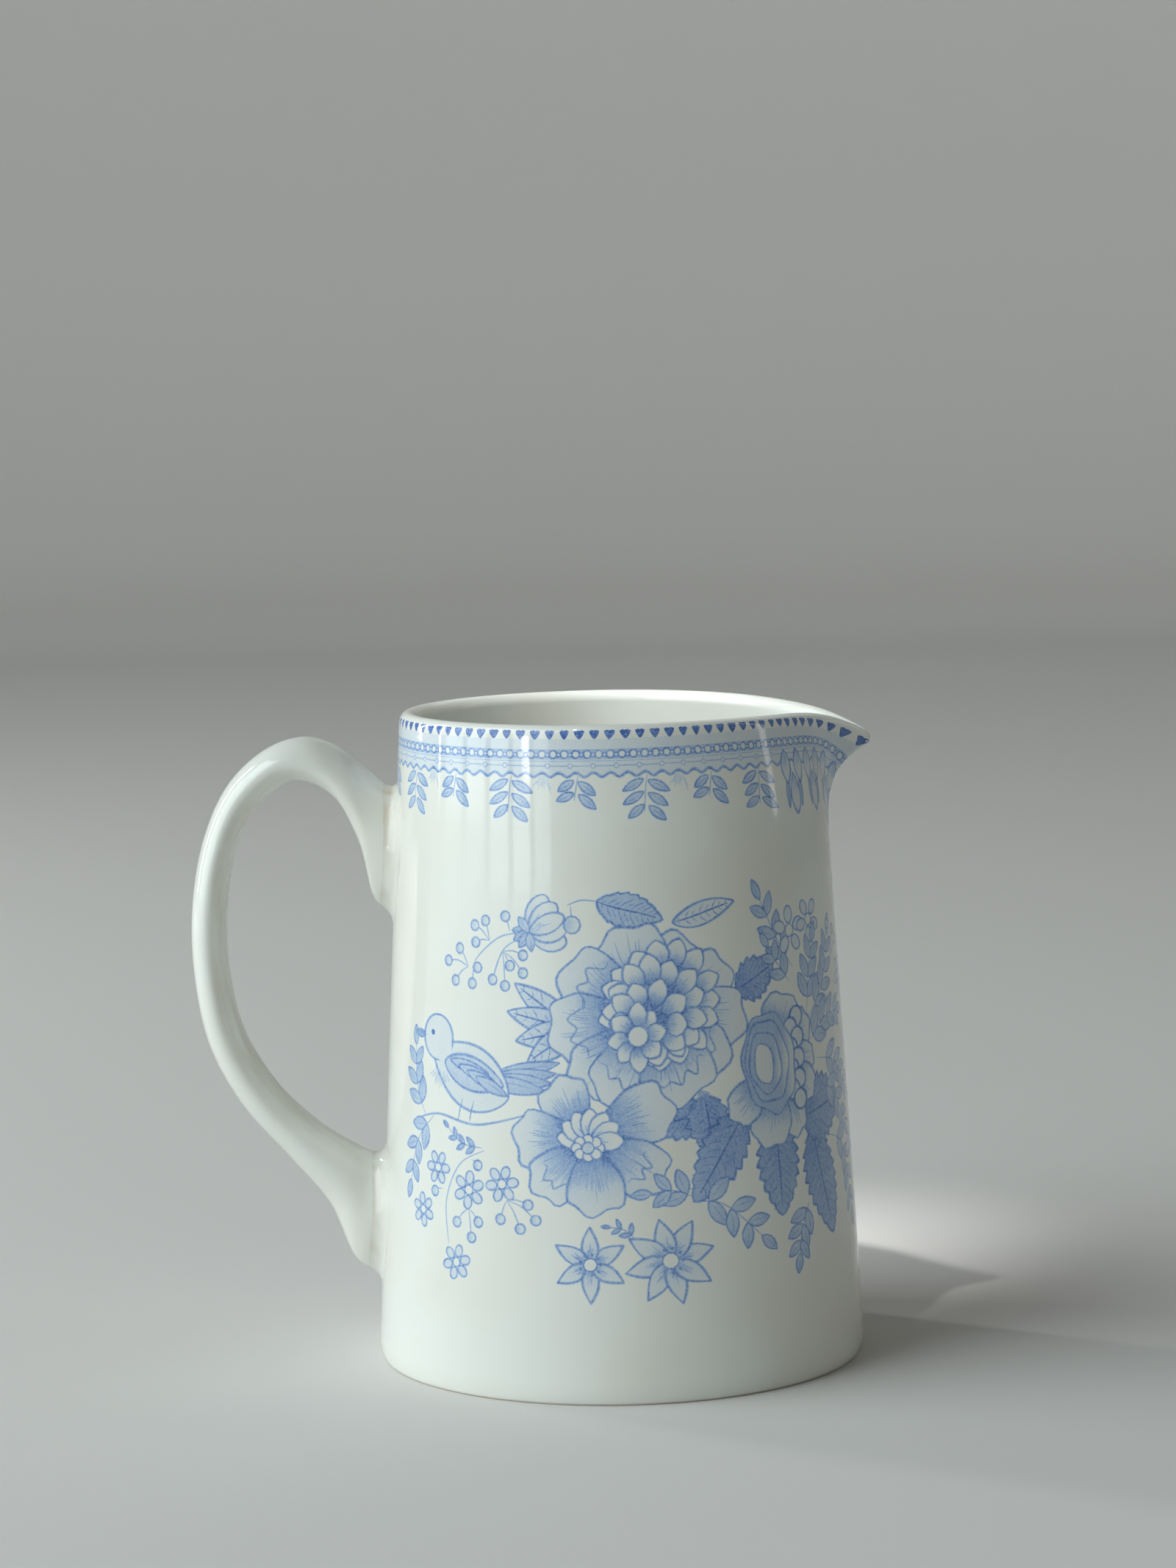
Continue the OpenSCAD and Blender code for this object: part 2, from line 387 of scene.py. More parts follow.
def blade(length, width, fullness=1.0, shift=1.0, bend=0.0, teeth=0, tooth=0.3, ruffle=0.0,
          lobes=3):
    """Outline of a leaf or petal that grows along +x from the origin."""
    per_side = 5 * teeth if teeth else max(7, int(length / 0.62))
    t = (1 - np.cos(np.linspace(0, math.pi, per_side + 1))) / 2
    if teeth:
        t = np.linspace(0, 1, per_side + 1)
    half = width / 2 * np.sin(math.pi * t ** shift).clip(0) ** fullness
    if teeth:
        half *= 1 + tooth * ((t * teeth) % 1 - 0.6) * (t < 0.97)
    x = t * length
    middle = bend * length * np.sin(math.pi * t / 2) ** 2
    right = np.stack([x, middle - half], axis=1)
    left = np.stack([x, middle + half], axis=1)[::-1][1:-1]
    out = np.vstack([right, left])
    if ruffle:
        k = np.linspace(0, 1, len(out), endpoint=False)
        grow = 1 + ruffle * np.sin(2 * math.pi * lobes * k) * (out[:, 0] / length).clip(0.2, 1)
        out *= grow[:, None]
    return out


def fade(x, y, angle, length, base, tip, power=1.5, start=0.0):
    """Ink that thins out along a petal, from base up to the share start to tip at its end."""
    c, s = math.cos(math.radians(angle)), math.sin(math.radians(angle))

    def ink(px, py, under):
        t = ((((px - x) * c + (py - y) * s) / length - start) / (1 - start)).clip(0, 1)
        return tip + (base - tip) * (1 - t) ** power
    return ink


def ball(r, n=16):
    t = np.linspace(0, 2 * math.pi, n, endpoint=False)
    return np.stack([r * np.cos(t), r * np.sin(t)], axis=1)


def dot(sheet, x, y, r, ink=0.15, width=0.42, line_ink=LINE_INK):
    sheet.outlined(turned(ball(r, max(10, int(9 * r))), 0, x, y), ink, width, line_ink)


def hatch(sheet, x, y, angle, length, spread, count, start=0.1, ink=0.6, width=0.3):
    """A fan of fine strokes from (x, y), from the share start of its length outwards."""
    for k in range(count):
        share = (k + 0.5) / count - 0.5
        turn = angle + spread * share + rng.uniform(-2, 2)
        reach = length * (start + (1 - start) * rng.uniform(0.35, 1) * (1 - 0.6 * abs(share)))
        near = start * length
        line = [(near, 0), (near + (reach - near) * 0.6, reach * 0.02), (reach, 0)]
        sheet.stroke(turned(line, turn, x, y), width, ink * rng.uniform(0.75, 1.1), ends=0.2)


def petal(sheet, x, y, angle, length, width, base=0.55, tip=0.08, marks=5, line=LINE, reach=0.7,
          start=0.0, **shape):
    shape = {"fullness": 0.55, "shift": 1.35, **shape}
    sheet.outlined(turned(blade(length, width, **shape), angle, x, y),
                   fade(x, y, angle, length, base, tip, 2.4, start), line)
    spread = math.degrees(math.atan2(width, length)) * 1.2
    hatch(sheet, x, y, angle, length * reach, spread, marks, start=max(0.16, start))


def leaf(sheet, x, y, angle, length, width, base=0.5, tip=0.34, veins=5, **shape):
    shape = {"fullness": 0.85, "shift": 0.85, **shape}
    bend = shape.get("bend", 0)
    sheet.outlined(turned(blade(length, width, **shape), angle, x, y),
                   fade(x, y, angle, length, base, tip, 1), 0.56, 0.85)

    def rib(t):
        return t * length, bend * length * math.sin(math.pi * t / 2) ** 2

    middle = [rib(t) for t in np.linspace(0.02, 0.9, 7)]
    sheet.stroke(turned(middle, angle, x, y), 0.46, 0.95, ends=0.3)
    for k in range(2 * veins):
        t = 0.08 + 0.76 * k / (2 * veins - 1)
        half = width / 2 * math.sin(math.pi * t ** shape["shift"]) ** shape["fullness"]
        half *= 0.78 if k % 2 else 0.55
        rx, ry = rib(t)
        for side in (-1, 1):
            end = (rx + half * 0.85, ry + side * half)
            bow = (rx + half * 0.3, ry + side * half * 0.5)
            sheet.stroke(turned([(rx, ry), bow, end], angle, x, y), 0.3 if k % 2 else 0.22, 0.8,
                         ends=0.2)


def leaflet(sheet, x, y, angle, length, width, ink=0.3):
    """A small plain leaf of a sprig, with a rib and darker towards its tip."""
    sheet.outlined(turned(blade(length, width, 0.8, 0.95), angle, x, y),
                   fade(x + length * math.cos(math.radians(angle)),
                        y + length * math.sin(math.radians(angle)), angle + 180, length,
                        0.5, ink, 1.6), 0.42)
    sheet.stroke(turned([(0.1 * length, 0), (0.5 * length, 0.03 * length), (0.85 * length, 0)],
                        angle, x, y), 0.24, 0.7, ends=0.2)


def sprig(sheet, points, size, pairs, lean=38, width=0.4):
    """A stem with pairs of leaflets and one at its end."""
    stem = curve(points)
    sheet.stroke(stem, 0.36, 0.66)
    for k in range(pairs + 1):
        i = int((0.25 + 0.75 * k / pairs) * (len(stem) - 1))
        before = stem[max(i - 1, 0)]
        way = math.degrees(math.atan2(*(stem[i] - before)[::-1]))
        grow = size * (1 - 0.25 * k / pairs)
        if k == pairs:
            leaflet(sheet, *stem[i], way, grow, grow * width)
            continue
        for side in (-1, 1):
            leaflet(sheet, *stem[i], way + side * lean, grow, grow * width)


def small_flower(sheet, x, y, r, count=6, turn=0):
    for k in range(count):
        a = math.radians(turn + 360 * k / count)
        oval = ball(1, 12) * (r * 0.36, r * 0.27)
        px, py = x + 0.66 * r * math.cos(a), y + 0.66 * r * math.sin(a)
        sheet.outlined(turned(oval, math.degrees(a), px, py), 0.2, 0.42)
    dot(sheet, x, y, r * 0.27, 0.03, 0.34)


def star_flower(sheet, x, y, r, count, turn):
    for k in range(count):
        angle = turn + 360 * k / count
        petal(sheet, x, y, angle, r * rng.uniform(0.94, 1.04), r * 0.44, 0.5, 0.13, 11,
              fullness=1.0, shift=0.85, bend=0.04, reach=0.62, line=0.56)
    dot(sheet, x, y, r * 0.18, 0.02, 0.4)
    for k in range(9):
        a = math.radians(40 * k)
        dot(sheet, x + 0.27 * r * math.cos(a), y + 0.27 * r * math.sin(a), 0.03 * r, 0.7, 0.2)


def berries(sheet, root, places, r=0.78):
    for px, py in places:
        away = np.hypot(px - root[0], py - root[1])
        middle = ((root[0] + px) / 2, (root[1] + py) / 2 + 0.12 * away)
        sheet.stroke(curve([root, middle, (px, py)]), 0.36, 0.66)
        dot(sheet, px, py, r, fade(px - r, py, 0, 2 * r, 0.4, 0.08, 1), 0.44)


def fold(sheet, x, y, angle, length, width, teeth=3):
    """The wavy edge of a petal that turns over near its end."""
    t = np.linspace(-1, 1, 2 * teeth + 1)
    out = length * (0.76 + 0.045 * (-1.0) ** np.arange(len(t)) - 0.16 * t ** 2)
    out += length * rng.uniform(-0.02, 0.02, len(t))
    edge = curve(np.stack([out, (t + 0.06 * np.sin(3 * t)) * width * 0.4], axis=1))
    sheet.stroke(turned(edge, angle, x, y), 0.52, 0.72)


def ring_of_petals(sheet, x, y, inner, length, width, count, turn, **looks):
    for k in range(count):
        angle = turn + 360 * (k + rng.uniform(-0.16, 0.16)) / count
        a = math.radians(angle)
        petal(sheet, x + inner * math.cos(a), y + inner * math.sin(a), angle,
              length * rng.uniform(0.85, 1.15), width * rng.uniform(0.85, 1.1), **looks)


def peony(sheet, x, y, r):
    """A full flower: broad outer petals, then rows of small ones that close round a boss."""
    outer = ((66, 0.92, 0.56), (28, 1.02, 0.62), (106, 0.98, 0.78), (150, 1.06, 0.7),
             (-4, 1.1, 0.66), (188, 1.1, 0.74), (-36, 1.0, 0.66), (222, 1.08, 0.62))
    for k, (angle, reach, wide) in enumerate(outer):
        petal(sheet, x, y, angle, reach * r, wide * r, 0.66, 0.12, 16, fullness=0.42, shift=2.1,
              ruffle=0.035, lobes=6 + k % 3, reach=0.95, start=0.46)
    for angle, reach, wide in (outer[3], outer[5], outer[6]):
        fold(sheet, x, y, angle, reach * r, wide * r)
    for angle, reach, wide in ((-112, 1.0, 0.8), (-66, 0.98, 0.86)):
        petal(sheet, x, y, angle, reach * r, wide * r, 0.62, 0.12, 17, fullness=0.42, shift=2.1,
              ruffle=0.04, lobes=7, reach=0.9, start=0.44)
        fold(sheet, x, y, angle, reach * r, wide * r, 4)
    heart, boss = np.array((x + 0.14 * r, y + 0.14 * r)), np.array((x - 0.14 * r, y - 0.2 * r))
    rows = ((0.31, 0.36, 0.25, 15), (0.22, 0.34, 0.25, 13), (0.13, 0.32, 0.24, 10),
            (0.04, 0.3, 0.22, 8))
    for row, (inner, length, width, count) in enumerate(rows):
        cx, cy = heart + (boss - heart) * (row / 3) ** 1.3
        ring_of_petals(sheet, cx, cy, inner * r, length * r, width * r, count, 17 * row, base=0.82,
                       tip=0.04, marks=5, fullness=0.75, shift=1.25, line=0.52, reach=0.75,
                       start=0.22)
    dot(sheet, *boss, 0.11 * r, 0.06, 0.46)


def open_flower(sheet, x, y, r):
    """An open flower of six broad petals round a domed heart."""
    outer = ((122, 0.86, 0.7), (184, 1.0, 0.78), (22, 1.18, 0.8), (230, 1.02, 0.7),
             (-32, 1.16, 0.74), (-82, 1.02, 0.76))
    for angle, reach, wide in outer:
        petal(sheet, x, y, angle, reach * r, wide * r, 0.78, 0.12, 20, fullness=0.45,
              shift=2.0, ruffle=0.045, lobes=7, reach=0.92, start=0.32)
    for angle, reach, wide in (outer[3], outer[4]):
        fold(sheet, x, y, angle, reach * r, wide * r * 0.8, 3)
    for angle in (172, 146, 118, 90, 60, 32, 2):
        petal(sheet, x + 0.03 * r, y - 0.06 * r, angle, 0.44 * r, 0.25 * r, 0.5, 0.05, 4,
              fullness=0.6, shift=1.2, line=0.5)
    for k in range(8):
        a = math.radians(45 * k)
        dot(sheet, x + 0.15 * r * math.cos(a), y - 0.14 * r + 0.11 * r * math.sin(a),
            0.07 * r, 0.06, 0.4)
    dot(sheet, x, y - 0.14 * r, 0.08 * r, 0.25, 0.4)


def side_flower(sheet, x, y, size):
    """A layered flower seen from the side: crescents round a lobed middle, and a ruffle."""
    lobes = ((0.1, 0.42, 66, 0.5, 0.6, 0.95), (0.4, 0.34, 32, 0.46, 0.4, 0.8),
             (0.5, 0.0, -4, 0.42, 0.34, 0.6), (0.48, -0.3, -30, 0.46, 0.4, 0.6),
             (0.25, -0.55, -68, 0.56, 0.4, 0.6), (-0.05, -0.55, -98, 0.6, 0.52, 0.6),
             (-0.45, -0.35, -132, 0.5, 0.4, 0.6))
    for dx, dy, angle, length, width, base in lobes:
        petal(sheet, x + dx * size * 0.4, y + dy * size * 0.4, angle, length * size,
              width * size, base, 0.13, 12, fullness=0.45, shift=1.3, ruffle=0.04, lobes=7,
              reach=0.95, start=0.3)
    for k in range(9):
        wobble = 0.05 * (-1) ** k
        dot(sheet, x + (0.3 + wobble) * size, y + (0.4 - 0.1 * k) * size, 0.1 * size, 0.2, 0.6,
            0.95)
    turn = np.linspace(0, 2 * math.pi, 44, endpoint=False)
    cups = ((-0.05, 0.0, 0.34, 0.49), (-0.08, 0.02, 0.27, 0.4), (-0.11, 0.01, 0.2, 0.3),
            (-0.13, 0.0, 0.12, 0.2))
    for k, (dx, dy, wide, tall) in enumerate(cups):
        wavy = 1 + 0.045 * np.sin((7 - k) * turn + 2 * k)
        cup = ball(1, len(turn)) * (wide * size, tall * size) * wavy[:, None]
        cx, cy = x + dx * size, y + dy * size
        ink = fade(cx, cy, 0, wide * size, 0.46, 0.08, 1.2, 0.55) if k < 3 else 0.1
        sheet.outlined(turned(cup, 8, cx, cy), ink, 0.5)
        hatch(sheet, cx, cy, 0, wide * size, 110, 9 - 2 * k, start=0.66, ink=0.36)


def bud(sheet, x, y, r, turn):
    for angle, wide in ((40, 1.1), (-38, 1.1), (20, 1.05), (-17, 1.05), (0, 0.8)):
        petal(sheet, x, y, turn + angle, 1.75 * r, wide * r, 0.4, 0.1, 4, fullness=0.55,
              shift=1.1, line=0.5)
    for angle in (150, 180, 210, 105, 255):
        leaflet(sheet, x, y, turn + angle, 0.8 * r, 0.42 * r)


def bird(sheet):
    """A small plain bird on a leafy twig, built up from rounds and blades."""
    sheet.stroke(curve([(-36.5, 39.6), (-30.0, 41.4), (-22.0, 40.6), (-13.0, 42.8)]), 0.66, 0.72)
    sprig(sheet, [(-33.0, 40.6), (-35.6, 45.2), (-36.2, 51.0)], 4.0, 3, width=0.5)
    sprig(sheet, [(-31.0, 41.0), (-35.0, 36.8), (-36.8, 30.6)], 4.0, 3, width=0.5)
    for k in range(4):
        leaflet(sheet, -20.6, 47.4, 14 - 7 * k, 12.5 - 0.8 * k, 2.4)
    pale = 0.14
    head = (-30.4, 52.8)
    sheet.outlined(turned(blade(16.0, 9.6, 0.75, 0.85), 158, -16.6, 44.8), pale)
    sheet.outlined(turned(ball(3.4, 28), 0, *head), pale)
    sheet.area(turned(ball(2.2, 20), 0, head[0] + 1.0, head[1] - 1.3), pale)
    sheet.outlined(turned(blade(2.8, 1.3, 0.8), 176, head[0] - 3.1, head[1]), 0.6, 0.3)
    dot(sheet, head[0] - 1.2, head[1] + 0.6, 0.42, 0.95, 0.2)
    hatch(sheet, -29.0, 49.4, 255, 5.4, 80, 12, start=0.3, ink=0.5)
    sheet.outlined(turned(blade(11.5, 5.0, 0.7, 0.9), -14, -28.6, 49.4), 0.3)
    for k in range(4):
        leaflet(sheet, -27.4 + 1.7 * k, 49.8 - 0.7 * k, -12 - 4 * k, 7.6 - 0.5 * k, 1.8)
    for x in (-25.6, -23.4):
        sheet.stroke([(x + 0.8, 44.2), (x + 0.3, 42.6), (x, 41.0)], 0.4, 0.8)


def flower_spray():
    """The spray: x runs round the wall to the right, y is the height above the table."""
    s = Sheet()
    # Foliage behind the flowers
    leaf(s, -2.6, 74.0, -22, 10.4, 5.2, 0.42, 0.36, 5, bend=0.1, teeth=7, tooth=0.16)
    leaf(s, 9.0, 70.6, 10, 10.6, 3.4, 0.24, 0.08, 4, fullness=0.8, bend=0.06)
    s.stroke(curve([(-7.2, 73.4), (-5.0, 74.2), (-2.6, 74.0)]), 0.4, 0.66)
    for angle, length in ((146, 11.5), (168, 11.0), (192, 9.5), (214, 9.0)):
        leaf(s, -6.0, 55.4, angle, length, 3.8, 0.36, 0.2, 3)
    toothed = ((13.6, 42.6, -172, 9.0, 6.0, 6), (13.0, 45.0, -84, 9.0, 7.0, 6),
               (19.6, 42.0, -128, 15.2, 7.6, 8), (25.4, 40.4, -92, 14.6, 8.2, 8),
               (33.4, 37.6, -78, 17.0, 8.4, 9), (31.0, 39.6, 6, 11.6, 10.4, 8),
               (19.0, 60.0, 20, 8.0, 6.4, 6))
    for x, y, angle, length, width, teeth in toothed:
        leaf(s, x, y, angle, length, width, 0.7, 0.48, 5, teeth=teeth, tooth=0.28,
             fullness=0.72, shift=0.82, bend=0.05)
    # The sprigs to the right
    sprig(s, [(31.0, 62.0), (27.6, 66.6), (24.4, 72.8)], 4.4, 3, width=0.46)
    sprig(s, [(30.0, 60.0), (27.4, 63.0), (25.6, 65.6)], 3.6, 2, width=0.5)
    small_flower(s, 30.6, 67.6, 3.6, 5, 20)
    small_flower(s, 36.0, 68.6, 3.4, 5, 50)
    sprig(s, [(34.0, 55.0), (35.0, 60.6), (36.6, 65.0)], 4.4, 3, width=0.5)
    sprig(s, [(34.0, 54.0), (39.6, 58.8), (42.8, 65.4)], 4.6, 4, width=0.46)
    sprig(s, [(33.0, 50.0), (39.4, 53.4), (45.8, 53.6)], 4.6, 4, width=0.5)
    sprig(s, [(36.0, 47.8), (42.2, 46.4), (48.8, 41.4)], 4.6, 4, width=0.46)
    sprig(s, [(36.4, 44.4), (41.6, 41.6), (45.8, 36.6)], 4.2, 3, width=0.5)
    sprig(s, [(38.0, 36.0), (44.0, 33.0), (46.8, 23.4)], 4.6, 4, width=0.5)
    small_flower(s, 49.0, 58.6, 3.1, 6, 10)
    small_flower(s, 51.6, 47.6, 2.8, 6, 40)
    berries(s, (44.4, 62.0), ((46.6, 65.8), (43.4, 67.0), (48.8, 64.0)))
    star_flower(s, 50.2, 33.4, 5.0, 6, 15)
    # The big flowers, over strokes of shade that fill the gaps between them
    for x, y, angle, spread in ((12, 46, -60, 80), (18, 44, -70, 90)):
        hatch(s, x, y, angle, 5.0, spread, 14, start=0.05, ink=0.7, width=0.42)
    side_flower(s, 25.6, 48.6, 15.4)
    peony(s, 5.2, 57.0, 14.0)
    bird(s)
    open_flower(s, -4.4, 39.6, 11.2)
    # The bud with its berries
    bud(s, -13.2, 69.4, 3.5, 24)
    s.stroke(curve([(-13.2, 69.4), (-18.0, 68.6), (-22.0, 65.6), (-23.2, 63.6)]), 0.4, 0.66)
    s.stroke(curve([(-13.6, 69.0), (-17.4, 66.8), (-19.2, 62.8)]), 0.4, 0.66)
    berries(s, (-20.0, 67.9), ((-22.8, 70.0), (-20.8, 70.8), (-22.6, 67.5)))
    berries(s, (-24.0, 63.8), ((-28.2, 64.4), (-25.8, 66.4), (-26.6, 61.6)))
    berries(s, (-22.8, 64.4), ((-22.2, 63.8), (-23.2, 61.4)))
    berries(s, (-17.6, 66.4), ((-14.2, 66.0), (-16.4, 64.4), (-14.2, 63.4), (-17.2, 61.4),
                               (-19.4, 62.2)))
    berries(s, (-16.4, 69.4), ((-17.2, 71.6),))
    berries(s, (-6.6, 73.4), ((-6.4, 70.6),), 1.3)
    # Under the bird
    s.stroke(curve([(-20.6, 36.9), (-25.2, 34.4), (-27.8, 28.8), (-27.2, 22.4)]), 0.4, 0.66)
    for x, y, r, turn in ((-29.8, 33.4, 2.5, 0), (-23.4, 30.8, 2.8, 25), (-17.6, 32.2, 2.7, 10),
                          (-33.2, 26.6, 2.5, 40), (-25.6, 19.8, 2.6, 15)):
        small_flower(s, x, y, r, 6, turn)
    berries(s, (-23.4, 28.0), ((-25.6, 25.8), (-21.6, 26.2), (-22.8, 23.8)))
    berries(s, (-16.8, 29.8), ((-17.8, 27.0), (-13.4, 29.4), (-14.6, 25.8), (-12.2, 27.2)))
    berries(s, (-28.6, 30.4), ((-30.4, 29.8),))
    berries(s, (-23.0, 35.4), ((-21.8, 34.6),))
    sprig(s, [(-21.0, 37.2), (-24.8, 37.6), (-27.6, 39.6)], 2.0, 3)
    # Stars and small leaves along the lower edge
    sprig(s, [(10.6, 30.4), (8.0, 31.4), (4.6, 31.2)], 4.0, 2, 44, 0.5)
    sprig(s, [(10.4, 29.6), (15.4, 28.8), (21.6, 23.4)], 4.6, 3, 50, 0.5)
    sprig(s, [(31.6, 27.0), (29.6, 23.2), (28.8, 19.6)], 4.0, 3, 40, 0.5)
    star_flower(s, -4.3, 20.9, 5.5, 6, 28)
    star_flower(s, 7.1, 21.2, 6.7, 8, 12)
    sprig(s, [(2.2, 24.6), (0.6, 26.0), (-1.4, 26.4)], 1.7, 2, 50)
    return s


# The border is drawn in units 36 degrees long: x runs round the rim, y up from the crest
BORDER_R = 32.0
UNIT = math.radians(36) * BORDER_R


def border_chains(s, start, end):
    """Tint, hearts, beads, thin chain and scalloped line from x = start to end."""
    wave_pitch, wave_y = UNIT / 8, -5.7
    xs = np.arange(start - 0.6, end + 0.6, 0.3)
    wave = wave_y + 0.33 * np.cos(2 * math.pi * xs / wave_pitch)
    lower = np.stack([xs, wave], axis=1)
    s.area(np.vstack([lower, [(xs[-1], -0.5), (xs[0], -0.5)]]), 0.17)
    s.area([(xs[0], -3.45), (xs[-1], -3.45), (xs[-1], -2.0), (xs[0], -2.0)], 0.42)
    pitch = UNIT / 9
    for k in range(round(start / pitch) - 1, round(end / pitch) + 1):
        x = (k + 0.5) * pitch + rng.uniform(-0.08, 0.08)
        w, h = 0.78 * rng.uniform(0.88, 1.1), 1.3 * rng.uniform(0.9, 1.08)
        heart = [(0, -h), (0.62 * w, -0.62 * h), (w, -0.1), (0.5 * w, 0.1), (0, 0.0),
                 (-0.5 * w, 0.1), (-w, -0.1), (-0.62 * w, -0.62 * h)]
        s.area(turned(curve(heart, True, 0.3), 0, x, 0.72), 0.92)
    pitch = UNIT / 12
    for k in range(round(start / pitch) - 1, round(end / pitch) + 1):
        dot(s, k * pitch, -2.72, 0.56, 0.08, 0.38, 0.85)
        dot(s, (k + 0.5) * pitch, -2.8, 0.3, 0.2, 0.3, 0.8)
    s.stroke([(x, -4.4) for x in xs], 0.3, 0.55, ends=1)
    s.stroke([(x, -3.7) for x in xs], 0.26, 0.45, ends=1)
    pitch = UNIT / 6
    for k in range(round(start / pitch) - 1, round(end / pitch) + 1):
        dot(s, (k + 0.25) * pitch, -4.4, 0.34, 0.14, 0.28, 0.55)
    s.stroke(lower, 0.66, 0.78, ends=1)


def pendant(s, x, pairs, size):
    """A pendant sprig under the scalloped line."""
    end = -6.3 - 1.85 * pairs
    s.stroke(curve([(x + 0.3, -5.8), (x, -7.5), (x - 0.3, end + 0.6)]), 0.34, 0.6)
    for k in range(pairs):
        y = -6.5 - 1.85 * k
        leaflet(s, x - 0.35, y, 212 + rng.uniform(-8, 8), size * rng.uniform(0.85, 1.05), 1.25,
                0.26)
        leaflet(s, x + 0.35, y - 0.2, -34 + rng.uniform(-8, 8), size * rng.uniform(0.95, 1.1),
                1.3, 0.26)


def border_unit():
    s = Sheet()
    border_chains(s, -UNIT / 2, UNIT / 2)
    pendant(s, -UNIT / 4, 3, 3.3)
    pendant(s, UNIT / 4, 2, 3.0)
    hatch(s, 0, -5.4, -90, 4.4, 80, 11, ink=0.34, width=0.34)
    return s


def border_lip():
    """The stretch under the lip, three units long, with a hanging group of petals."""
    s = Sheet()
    border_chains(s, -1.5 * UNIT, 1.5 * UNIT)
    for side in (-1, 1):
        pendant(s, side * 1.3 * UNIT, 3, 3.3)
    for k in range(-6, 7):
        x = 3.5 * k
        leaflet(s, x + 1.7, -8.0, -90 + 4 * (k % 3 - 1), 4.4, 1.1, 0.45)
        if k % 2:
            petal(s, x, -7.4, -90, 5.9, 2.6, 0.3, 0.12, 3, fullness=0.7, shift=1.2)
    for k in range(-6, 7):
        x = 3.5 * k + 1.75
        petal(s, x, -3.9, -90 + 3 * (k % 2), 4.9, 2.5, 0.35, 0.12, 4, fullness=0.8, shift=0.95)
    return s


def inside(points, x, y):
    """Which of the places x, y the outline winds round."""
    p, q = points, np.roll(points, -1, axis=0)
    px, py, qx, qy = (c[:, None] for c in (p[:, 0], p[:, 1], q[:, 0], q[:, 1]))
    side = (qx - px) * (y - py) - (x - px) * (qy - py)
    up = (py <= y) & (qy > y) & (side > 0)
    down = (py > y) & (qy <= y) & (side < 0)
    return up.sum(axis=0) != down.sum(axis=0)


def ink_faces(sheet, low, high, pitch, rows=()):
    """Cuts the drawing, a grid and the extra rows into triangles from corner low to corner high.
    Returns the places of their corners, the triangles, and the ink at their corners."""
    places, edges = [], []

    def chain(points, closed):
        first = len(places)
        places.extend(Vector(p) for p in points)
        count = len(points)
        edges.extend((first + k, first + (k + 1) % count) for k in range(count - (not closed)))

    for outline, _, spine, closed in sheet.shapes:
        chain(outline.tolist(), True)
        if spine is not None:
            chain(spine.tolist(), closed)
    for x in np.linspace(low[0], high[0], round((high[0] - low[0]) / pitch) + 1):
        chain([(x, low[1]), (x, high[1])], False)
    even = np.linspace(low[1], high[1], round((high[1] - low[1]) / pitch) + 1)
    for y in (*even, *rows):
        chain([(low[0], y), (high[0], y)], False)
    cut = delaunay_2d_cdt(places, edges, [], 0, 1e-4)
    flat = np.array([v[:] for v in cut[0]])
    triangles = np.array(cut[2])
    corners = flat[triangles]
    centre = corners.mean(axis=1)
    keep = ((centre > low) & (centre < high)).all(axis=1)
    triangles, corners, centre = triangles[keep], corners[keep], centre[keep]
    ink = np.zeros(triangles.shape)
    for points, tone, _, _ in sheet.shapes:
        lo, hi = points.min(axis=0), points.max(axis=0)
        near = np.flatnonzero(((centre > lo) & (centre < hi)).all(axis=1))
        if not len(near):
            continue
        near = near[inside(points, centre[near, 0], centre[near, 1])]
        if callable(tone):
            tone = tone(corners[near, :, 0], corners[near, :, 1], ink[near])
        ink[near] = tone
    return flat, triangles, ink


FILM_LIFT = 0.03


def on_wall(x, y, middle):
    """Film points for a spray whose x = 0 lies at angle middle."""
    a = middle + np.degrees(x / SPRAY_R)
    wrapped = (a + 180) % 360 - 180
    plain = np.array([wall_r(y) + FILM_LIFT, y + FILM_LIFT * WALL_SLOPE])
    v = ((crest_z(wrapped) - y) / (crest_z(wrapped) - BAND_Z)).clip(0, 1)
    rz = np.where(y < BAND_Z, plain, wall_point(wrapped, v, 1, FILM_LIFT))
    return spin(rz, a)


def on_border(x, y, middle):
    a = middle + np.degrees(x / BORDER_R)
    wrapped = (a + 180) % 360 - 180
    v = (-y).clip(0) / (crest_z(wrapped) - BAND_Z)
    turn = np.degrees(y.clip(0) / (thick(wrapped, 0.0) / 2))
    rz = np.where(y < 0, wall_point(wrapped, v, 1, FILM_LIFT),
                  crest_point(wrapped, turn, FILM_LIFT))
    return spin(rz, a)


def make_print(name, node, material, parts):
    """One printed film. parts holds (cut drawing, function onto the wall, middle angle)."""
    points, normals, faces, inks, first = [], [], [], [], 0
    for (flat, triangles, ink), onto, middle in parts:
        x, y = flat[:, 0], flat[:, 1]
        here = onto(x, y, middle)
        dx, dy = onto(x + 0.02, y, middle) - here, onto(x, y + 0.02, middle) - here
        normal = np.cross(dx, dy)
        normals.append(normal / np.linalg.norm(normal, axis=1)[:, None])
        points.append(here)
        faces.append(triangles + first)
        inks.append(ink)
        first += len(flat)
    points, normals, faces = np.vstack(points), np.vstack(normals), np.vstack(faces)
    used, faces = np.unique(faces, return_inverse=True)
    faces = faces.reshape(-1, 3)
    mesh = bpy.data.meshes.new(name)
    mesh.from_pydata((points[used] * MM).tolist(), [], faces.tolist())
    mesh.polygons.foreach_set("use_smooth", [True] * len(mesh.polygons))
    tone = mesh.attributes.new("ink", "FLOAT", "CORNER")
    tone.data.foreach_set("value", np.concatenate(inks).ravel().astype(np.float32))
    mesh.normals_split_custom_set_from_vertices(normals[used].tolist())
    piece = bpy.data.objects.new(name, mesh)
    bpy.context.scene.collection.objects.link(piece)
    place(piece, node, "blue_print", material)


